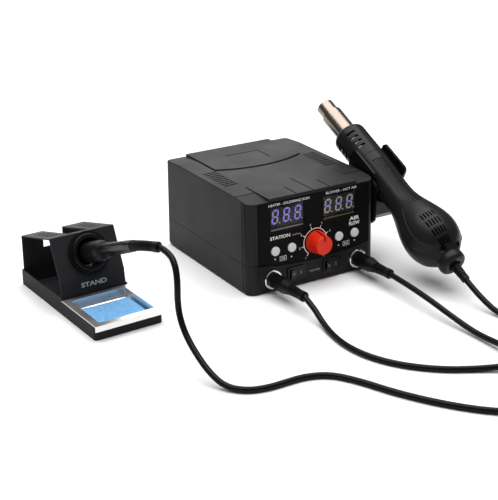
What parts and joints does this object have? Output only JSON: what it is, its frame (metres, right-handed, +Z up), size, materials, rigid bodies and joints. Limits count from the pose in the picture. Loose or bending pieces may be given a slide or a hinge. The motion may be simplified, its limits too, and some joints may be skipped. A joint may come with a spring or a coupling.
{
  "type": "hot air station",
  "caption": "Bench soldering and hot air station: sloped case with control panel, hot air gun in a side cradle, iron in a stand, two cords.",
  "frame": {"origin": "on the bench in the case's middle plane, 80 mm behind the foot of its front", "axes": "+Z up, -Y out of the front panel towards the user, +X to the right seen from the front"},
  "size_m": [0.3687, 0.4796, 0.1394],
  "materials": {
    "case": "satin",
    "fascia": "satin",
    "clear_window": "clear",
    "display_face": "gloss",
    "knob_red": "satin",
    "steel": "satin",
    "circuit_board": "satin",
    "rubber_black": "matte",
    "core_steel": "satin",
    "gloss_black": "gloss",
    "chrome": "polished",
    "ceramic": "matte",
    "handle_black": "satin",
    "stand_paint": "satin",
    "sponge_blue": "matte",
    "cord_black": "satin",
    "button_grey": "satin"
  },
  "bodies": {
    "root": {"lower_shell": "case", "upper_shell": "case", "front_panel": "fascia", "display_windows": "clear_window", "iron_display": "display_face", "air_display": "display_face", "potentiometer": "steel", "display_board": "circuit_board", "iron_plug_relief": "rubber_black", "air_plug_relief": "rubber_black", "main_board": "circuit_board", "transformer": "core_steel", "mains_inlet": "gloss_black", "rubber_feet": "rubber_black", "case_screws": "steel", "gun_cradle": "gloss_black", "cradle_screws": "steel", "stand_base": "stand_paint", "stand_holder": "stand_paint", "stand_ring": "gloss_black", "stand_rivets": "steel", "iron_cord_lead": "cord_black", "iron_cord_coil": "cord_black", "iron_cord_return": "cord_black", "gun_cord_lead": "cord_black", "gun_cord_coil": "cord_black", "gun_cord_return": "cord_black", "iron_switch_frame": "gloss_black", "iron_socket": "chrome", "iron_plug": "rubber_black", "air_switch_frame": "gloss_black", "air_socket": "chrome", "air_plug": "rubber_black"},
    "dial_knob": {"dial_knob": "knob_red", "knob_shaft": "steel"},
    "iron_down_button": {"iron_down_button": "button_grey"},
    "iron_up_button": {"iron_up_button": "button_grey"},
    "air_up_button": {"air_up_button": "button_grey"},
    "air_down_button": {"air_down_button": "button_grey"},
    "iron_rocker": {"iron_rocker": "gloss_black"},
    "air_rocker": {"air_rocker": "gloss_black"},
    "gun": {"gun_nozzle": "chrome", "heater_tube": "chrome", "heater_core": "ceramic", "gun_collar": "handle_black", "gun_shell_upper": "handle_black", "gun_shell_lower": "handle_black", "fan_motor": "steel", "gun_screws": "steel", "gun_relief": "rubber_black"},
    "fan": {"fan_impeller": "gloss_black"},
    "iron": {"iron_grip": "rubber_black", "iron_handle": "gloss_black", "iron_nut": "chrome", "iron_barrel": "chrome", "iron_tip": "steel", "iron_relief": "rubber_black", "iron_cord_drop": "cord_black"},
    "sponge_tray": {"sponge_tray": "chrome"},
    "sponge": {"sponge": "sponge_blue"}
  },
  "joints": [
    {"name": "dial_turn", "type": "hinge", "parent": "root", "child": "dial_knob", "pos_m": [0.002, -0.07823, 0.04126], "axis": [0, -0.9991, 0.043], "range_deg": [-150, 150]},
    {"name": "iron_down_press", "type": "slide", "parent": "root", "child": "iron_down_button", "axis": [0, 0.9991, -0.043], "range_m": [0, 0.0012], "stiffness_N_per_m": 300},
    {"name": "iron_up_press", "type": "slide", "parent": "root", "child": "iron_up_button", "axis": [0, 0.9991, -0.043], "range_m": [0, 0.0012], "stiffness_N_per_m": 300},
    {"name": "air_up_press", "type": "slide", "parent": "root", "child": "air_up_button", "axis": [0, 0.9991, -0.043], "range_m": [0, 0.0012], "stiffness_N_per_m": 300},
    {"name": "air_down_press", "type": "slide", "parent": "root", "child": "air_down_button", "axis": [0, 0.9991, -0.043], "range_m": [0, 0.0012], "stiffness_N_per_m": 300},
    {"name": "iron_rock", "type": "hinge", "parent": "root", "child": "iron_rocker", "pos_m": [-0.0204, -0.0794, 0.01399], "axis": [0, -0.043, -0.9991], "range_deg": [0, 14]},
    {"name": "air_rock", "type": "hinge", "parent": "root", "child": "air_rocker", "pos_m": [0.0206, -0.0794, 0.01399], "axis": [0, -0.043, -0.9991], "range_deg": [0, 14]},
    {"name": "gun_lift", "type": "slide", "parent": "root", "child": "gun", "axis": [0, -0.4289, 0.9033], "range_m": [0, 0.04]},
    {"name": "fan_spin", "type": "hinge", "parent": "gun", "child": "fan", "pos_m": [0.096, -0.13324, 0.04319], "axis": [0, -0.4289, 0.9033], "continuous": true},
    {"name": "iron_draw", "type": "slide", "parent": "root", "child": "iron", "axis": [0.0403, -0.923, 0.3827], "range_m": [0, 0.09]},
    {"name": "tray_lift", "type": "slide", "parent": "root", "child": "sponge_tray", "axis": [0, 0, 1], "range_m": [0, 0.02]},
    {"name": "sponge_lift", "type": "slide", "parent": "sponge_tray", "child": "sponge", "axis": [0, 0, 1], "range_m": [0, 0.015]}
  ]
}
